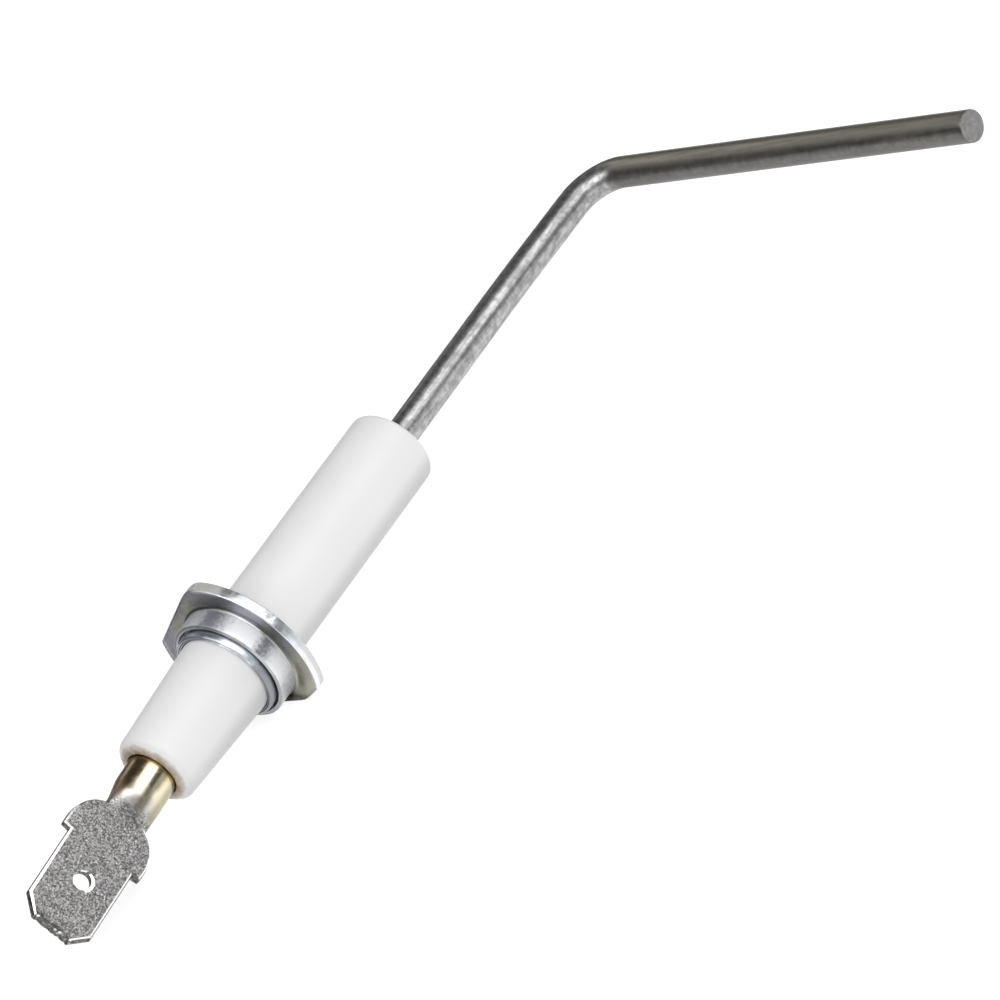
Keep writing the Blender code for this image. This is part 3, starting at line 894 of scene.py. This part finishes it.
def build_rod(steel, cut):
    """Rod swept along its route, with a small edge and a slightly uneven end face of its own finish."""
    route, end, free = rod_route()
    sides = 56
    up = Vector((0.0, 0.0, 1.0))
    rings = [(point, way, 1.0) for point, way in route]
    rings += [(end - free * before, free, share) for before, share in ROD_EDGE]
    wall_rings = len(rings)
    rings += [(end, free, share) for share in ROD_FACE]
    points = []
    for i, (point, way, share) in enumerate(rings):
        side = way.cross(up)
        for angle in even_angles(sides):
            spoke = side * math.cos(angle) + up * math.sin(angle)
            place = point + spoke * ROD_RADIUS * share
            if i < wall_rings:
                place += spoke * 0.005 * wobble(*place, size=5.0, seed=7.0)
            else:
                place += way * (ROD_FACE_DEPTH * (wobble(*place, size=0.7, seed=5.0) - 1))
            points.append(tuple(place))
    points.append(tuple(end - free * ROD_FACE_DEPTH))
    points.append(tuple(route[0][0]))
    faces = skin(len(rings), sides)
    last = (len(rings) - 1) * sides
    for k in range(sides):
        after = (k + 1) % sides
        faces.append((last + k, last + after, len(points) - 2))
        faces.append((after, k, len(points) - 1))
    mesh = mesh_of("bent_rod", points, faces)
    made = add_object("bent_rod", mesh, [steel, cut], replaces="spark_rod")
    face_depth, face_reach = 0.06 * MM, 2.0 * MM
    for polygon in made.data.polygons:
        away = polygon.center - end * MM
        if away.dot(free) > -face_depth and away.length < face_reach:
            polygon.material_index = 1


def leaned(x):
    """How far the terminal has leaned along its width at this station."""
    return TAB_LEAN * max(0.0, INSULATOR_BACK - x)


def eased(value, start, end):
    """The value's share of the way from start to end, smoothed."""
    share = min(max((value - start) / (end - start), 0.0), 1.0)
    return share * share * (3 - 2 * share)


def in_terminal(wide, thick, x):
    """A point, from its place across the tab, through it and along the axis."""
    return Vector((x, 0.0, 0.0)) + WIDE * (wide + leaned(x)) + THICK * thick


def neck_mesh():
    """The round neck, narrowed to a waist and pressed flat at its back end."""
    front_radius = NECK_RADIUS - NECK_FRONT_EDGE
    stations = [  # x, shift along the width, half width, half thickness
        (NECK_FRONT, 0.0, front_radius, front_radius),
        (NECK_FRONT - NECK_FRONT_EDGE, 0.0, NECK_RADIUS, NECK_RADIUS),
    ]
    stations += [(x, 0.0, NECK_RADIUS, NECK_RADIUS) for x in NECK_STATIONS]
    for i in range(PRESS_STEPS + 1):
        x = WAIST_START - PRESS_LENGTH * i / PRESS_STEPS
        waist = eased(x, WAIST_START, WAIST_END)
        pressed = eased(x, PRESS_START, PRESS_END)
        half_width = NECK_RADIUS - WAIST_NARROWING * waist
        half_thickness = NECK_RADIUS + (PRESSED_HALF_THICKNESS - NECK_RADIUS) * pressed
        stations.append((x, WAIST_SHIFT * waist, half_width, half_thickness))
    sides = 96
    points = []
    for x, shift, half_width, half_thickness in stations:
        for angle in even_angles(sides):
            wide = half_width * math.cos(angle) + shift
            points.append(in_terminal(wide, half_thickness * math.sin(angle), x))
    return mesh_of("neck", points, skin(len(stations), sides) + caps(len(stations), sides))


def tab_outline():
    """Closed outline of the tab: (distance across from its middle, x, bevel's width, wall's taper)."""
    side = ((TIP_HALF_WIDTH, TAB_TIP), (TAB_HALF_WIDTH, TIP_CORNER), (TAB_HALF_WIDTH, STOP), *STOP_CORNER)
    outline = [(wide, x, 0.13, 0.13) for wide, x in side]
    outline += [(wide, x, 0.12 if x < -20.5 else 0.08, 0.11) for wide, x in TAB_SHOULDER]
    outline += [(-wide, x, 0.18 if x < -20.1 else 0.08, 0.06) for wide, x in reversed(TAB_SHOULDER)]
    outline += [(-wide, x, 0.18, 0.05) for wide, x in reversed(STOP_CORNER)]
    outline += [(-TAB_HALF_WIDTH, STOP, 0.16, 0.05), (-TAB_HALF_WIDTH, TIP_CORNER, 0.24, 0.05)]
    steps = 16
    for i in range(steps):
        wide = -TIP_HALF_WIDTH + 2 * TIP_HALF_WIDTH * i / steps
        torn = 0.12 * wobble(wide, 0.0, 0.0, size=0.35, seed=3.0)
        outline.append((wide, TAB_TIP + 0.08 + torn, 0.14, 0.06))
    return outline


def inset(outline, share, tapered=0.0):
    """The outline moved inwards by this share of its bevel's width and this share of its wall's taper."""
    moved = []
    count = len(outline)
    for i, (_, _, bevel, taper) in enumerate(outline):
        before, here, after = (Vector(outline[(i + k) % count][:2]) for k in (-1, 0, 1))
        first, second = (here - before).normalized(), (after - here).normalized()
        first_normal, second_normal = Vector((-first.y, first.x)), Vector((-second.y, second.x))
        middle = (first_normal + second_normal).normalized()
        distance = bevel * share + taper * tapered
        moved.append(tuple(here + middle * distance / max(middle.dot(first_normal), 0.5)))
    return moved


def tab_mesh():
    """The flat tab, bevelled on its front and tapered towards both faces."""
    outline = tab_outline()
    half = TAB_HALF_THICKNESS
    layers = [  # outline, place through the thickness
        (inset(outline, 1.0, 1.0), -half),
        (inset(outline, 0.0, 1.0), -half + BEVEL_DEPTH),
        (inset(outline, 0.0), 0.1),
        (inset(outline, 0.0), half - BACK_EDGE),
        (inset(outline, 0.0, 1.0), half),
    ]
    points = [in_terminal(wide, thick, x) for loop, thick in layers for wide, x in loop]
    return mesh_of("tab", points, caps(len(layers), len(outline)) + skin(len(layers), len(outline)))


def hole_cutter():
    """Straight through the tab, with a burr worn down to one side of each mouth."""
    half = TAB_HALF_THICKNESS
    stations = (  # place through the thickness, radius, shift along the width
        (-half - CUTTER_EXCESS, CUTTER_RADIUS, HOLE_SHIFT),
        (-half, HOLE_FLARE_RADIUS, HOLE_SHIFT),
        (-half + BEVEL_DEPTH, TAB_HOLE_RADIUS, 0.0),
        (half - BEVEL_DEPTH, TAB_HOLE_RADIUS, 0.0),
        (half, HOLE_FLARE_RADIUS, -HOLE_SHIFT),
        (half + CUTTER_EXCESS, CUTTER_RADIUS, -HOLE_SHIFT),
    )
    sides = 72
    points = []
    for thick, radius, shift in stations:
        for angle in even_angles(sides):
            along = Vector((radius * math.sin(angle), 0.0, 0.0))
            points.append(in_terminal(radius * math.cos(angle) + shift, thick, TAB_HOLE) + along)
    return mesh_of("hole_cutter", points, caps(len(stations), sides) + skin(len(stations), sides))


def build_terminal(metal, edge, wall):
    """Neck and tab joined, the latch hole cut, and finishes set apart for the bevels and the side walls."""
    blank = linked("terminal_blank", neck_mesh())
    tab = linked("tab_blank", tab_mesh())
    cutter = linked("hole_cutter", hole_cutter())
    for other, operation in ((tab, "UNION"), (cutter, "DIFFERENCE")):
        modifier = blank.modifiers.new(other.name, "BOOLEAN")
        modifier.operation = operation
        modifier.solver = "EXACT"
        modifier.object = other
    graph = bpy.context.evaluated_depsgraph_get()
    mesh = bpy.data.meshes.new_from_object(blank.evaluated_get(graph))
    mesh.name = "blade_terminal"
    for spent in (blank, tab, cutter):
        bpy.data.objects.remove(spent)
    finishes = [metal, edge, wall]
    made = add_object(
        "blade_terminal", mesh, finishes, replaces="terminal", sharp=9.0
    )
    tab_start, neck_end, neck_half_width = -18.7 * MM, -19.5 * MM, 2.1 * MM
    flat_facing, wall_facing = 0.995, 0.4
    for polygon in made.data.polygons:
        facing = abs(polygon.normal.dot(THICK))
        if polygon.center.x < tab_start and facing < flat_facing:
            on_neck = polygon.center.x > neck_end and abs(polygon.center.dot(WIDE)) < neck_half_width
            if facing < wall_facing:
                polygon.material_index = finishes.index(wall)
            elif not on_neck:
                polygon.material_index = finishes.index(edge)


# ---------------------------------------------------------------------------------------------------
# Stage, light and camera


def area_light(name, place, width, height, radiance):
    """A rectangle with its middle at this place and its width along X, turned towards the X axis."""
    data = bpy.data.lights.new(name, "AREA")
    data.shape = "RECTANGLE"
    data.size = width * MM
    data.size_y = height * MM
    data.energy = radiance * width * MM * height * MM * math.pi
    lamp = linked(name, data)
    lamp.location = Vector(place) * MM
    lamp.rotation_euler = Vector((0.0, place[1], place[2])).to_track_quat("Z", "Y").to_euler()


def build_floor():
    """A pale floor just below the part. It glows, less and less with the distance from the Z axis."""
    level = cad_box[0][2] - 0.1 * MM
    half = 3000.0 * MM
    corners = [(-half, -half, level), (half, -half, level), (half, half, level), (-half, half, level)]
    mesh = bpy.data.meshes.new("floor")
    mesh.from_pydata(corners, [], [(0, 1, 2, 3)])
    floor = linked("floor", mesh)
    floor_grey = (0.4, 0.4, 0.4)
    g = Graph("pale_floor", specular=0.0)
    g.shader.inputs["Emission Color"].default_value = WHITE
    glow = g.ramp(g.length(g.x, g.y), 450.0, 1400.0, 0.8, 0.15)
    g.put(g.shader.inputs["Emission Strength"], glow)
    floor.data.materials.append(g.finish(floor_grey, roughness=1.0))


def build_lights():
    """A dim white world and three soft boxes."""
    world = bpy.data.worlds.new("studio")
    bpy.context.scene.world = world
    world.use_nodes = True
    background = world.node_tree.nodes["Background"]
    background.inputs["Color"].default_value = WHITE
    background.inputs["Strength"].default_value = 0.1
    area_light("front_box", (80.0, -145.0, 167.0), width=460.0, height=198.0, radiance=2.1)
    area_light("fill_box", (-350.0, -20.0, 380.0), width=400.0, height=400.0, radiance=3.2)
    area_light("back_box", (150.0, 430.0, 310.0), width=400.0, height=160.0, radiance=0.95)


def build_camera():
    """A long lens, placed in metres and turned by its own axes."""
    data = bpy.data.cameras.new("camera")
    data.lens = 225.0
    data.sensor_width = 36.0
    camera = linked("camera", data)
    right = (0.4946, -0.6809, -0.5398)
    up = (0.6903, -0.0702, 0.7201)
    back = (-0.5281, -0.7290, 0.4359)
    place = (-0.24925, -0.38496, 0.21862)
    camera.matrix_world = Matrix(((*right, 0.0), (*up, 0.0), (*back, 0.0), (*place, 1.0))).transposed()
    bpy.context.scene.camera = camera


build_camera()
bpy.context.scene.view_settings.view_transform = "Standard"
build_floor()
build_lights()

cement = cement_material()
build_insulator(ceramic_material())
build_front_cement(cement)
build_flange(zinc_material())
build_ring(ring_material())
build_rod(rod_material(), cut_material())
build_terminal(terminal_material(), tab_edge_material(), tab_wall_material())
for node, hidden_finish in (("back_cement", cement), ("sealing_washer", graphite_material())):
    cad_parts[node].material_slots[0].material = hidden_finish
